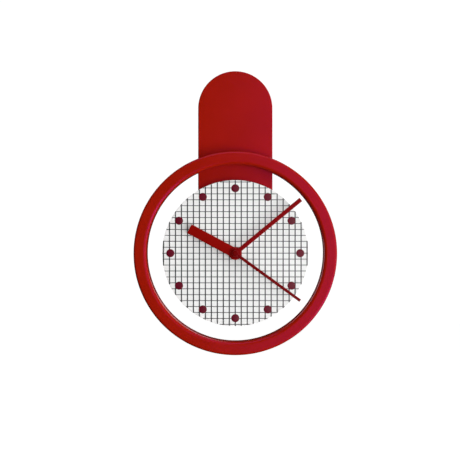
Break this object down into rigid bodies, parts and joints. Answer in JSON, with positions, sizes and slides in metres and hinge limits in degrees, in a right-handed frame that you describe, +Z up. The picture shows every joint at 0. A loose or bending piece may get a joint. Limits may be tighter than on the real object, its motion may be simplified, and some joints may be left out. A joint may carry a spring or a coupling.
{
  "type": "wall clock",
  "caption": "Analogue wall clock: a round-topped back plate, a proud ring frame with an open gap round a gridded dial, bar hands and a battery quartz movement.",
  "frame": {"origin": "centre of the keyhole that the clock hangs from, on the plane of the wall", "axes": "+Z is up, the dial faces -Y, +Y points into the wall, +X is to the right seen from the front"},
  "size_m": [0.25, 0.0386, 0.35],
  "materials": {
    "red_plastic": "satin moulded",
    "hand_red": "satin enamel",
    "marker_red": "satin moulded",
    "dial_white": "matte, printed grid",
    "spacer_white": "matte",
    "hanger_steel": "zinc plated",
    "screw_steel": "zinc plated",
    "case_black": "fine texture",
    "frame_white": "moulded",
    "gear_white": "moulded acetal",
    "brass": "turned",
    "rubber": "matte",
    "arbor_steel": "polished",
    "magnet": "sintered",
    "stator_iron": "annealed",
    "copper": "enamelled wire",
    "board": "solder mask",
    "crystal_can": "satin",
    "blob": "epoxy",
    "cell_sleeve": "gloss sleeve",
    "cell_steel": "nickel plated",
    "contact_steel": "nickel plated"
  },
  "bodies": {
    "root": {"back_plate": "red_plastic", "ring_frame": "red_plastic", "ring_back_cover": "red_plastic", "hour_markers": "marker_red", "dial_disc": "dial_white", "dial_spacer": "spacer_white", "hanger_plate": "hanger_steel", "hanger_screws": "screw_steel", "ring_screws": "screw_steel", "core_screws": "screw_steel", "movement_case": "case_black", "movement_cover": "case_black", "middle_plate": "frame_white", "coil_bobbin": "frame_white", "threaded_bush": "brass", "bush_nut": "brass", "bush_washer": "brass", "rubber_gasket": "rubber", "stator": "stator_iron", "coil_core": "stator_iron", "coil_winding": "copper", "circuit_board": "board", "quartz_crystal": "crystal_can", "chip_blob": "blob", "battery_contact_positive": "contact_steel", "battery_contact_negative": "contact_steel"},
    "rotor": {"rotor_magnet": "magnet", "rotor_pinion": "gear_white"},
    "fifth": {"fifth_wheel": "gear_white"},
    "second": {"second_wheel": "gear_white", "second_arbor": "arbor_steel", "second_hand": "hand_red", "second_hand_cap": "hand_red"},
    "third": {"third_wheel": "gear_white"},
    "minute": {"minute_wheel": "gear_white", "minute_hand": "hand_red"},
    "reverser": {"reverser_wheel": "gear_white", "setting_knob": "case_black"},
    "hour": {"hour_wheel": "gear_white", "hour_hand": "hand_red"},
    "battery": {"battery_can": "cell_sleeve", "battery_button": "cell_steel"}
  },
  "joints": [
    {"name": "second_hand_turn", "type": "hinge", "parent": "root", "child": "second", "pos_m": [0, -0.012, -0.179], "axis": [0, 1, 0], "continuous": true},
    {"name": "rotor_turn", "type": "hinge", "parent": "root", "child": "rotor", "pos_m": [0.01389, -0.012, -0.17321], "axis": [0, 1, 0], "continuous": true},
    {"name": "fifth_wheel_turn", "type": "hinge", "parent": "root", "child": "fifth", "pos_m": [0.00689, -0.012, -0.17321], "axis": [0, 1, 0], "continuous": true},
    {"name": "third_wheel_turn", "type": "hinge", "parent": "root", "child": "third", "pos_m": [-0.00846, -0.012, -0.17592], "axis": [0, 1, 0], "continuous": true},
    {"name": "minute_hand_turn", "type": "hinge", "parent": "root", "child": "minute", "pos_m": [0, -0.012, -0.179], "axis": [0, 1, 0], "continuous": true},
    {"name": "setting_knob_turn", "type": "hinge", "parent": "root", "child": "reverser", "pos_m": [0.00617, -0.012, -0.18635], "axis": [0, 1, 0], "continuous": true},
    {"name": "hour_hand_turn", "type": "hinge", "parent": "root", "child": "hour", "pos_m": [0, -0.012, -0.179], "axis": [0, 1, 0], "continuous": true},
    {"name": "battery_slide", "type": "slide", "parent": "root", "child": "battery", "axis": [0, 1, 0], "range_m": [0, 0.025]}
  ],
  "couplings": [
    {"joint": "rotor_turn", "follows": "second_hand_turn", "ratio": 30},
    {"joint": "fifth_wheel_turn", "follows": "second_hand_turn", "ratio": -5},
    {"joint": "third_wheel_turn", "follows": "second_hand_turn", "ratio": -0.125},
    {"joint": "minute_hand_turn", "follows": "second_hand_turn", "ratio": 0.016667},
    {"joint": "setting_knob_turn", "follows": "second_hand_turn", "ratio": -0.0055556},
    {"joint": "hour_hand_turn", "follows": "second_hand_turn", "ratio": 0.0013889}
  ]
}
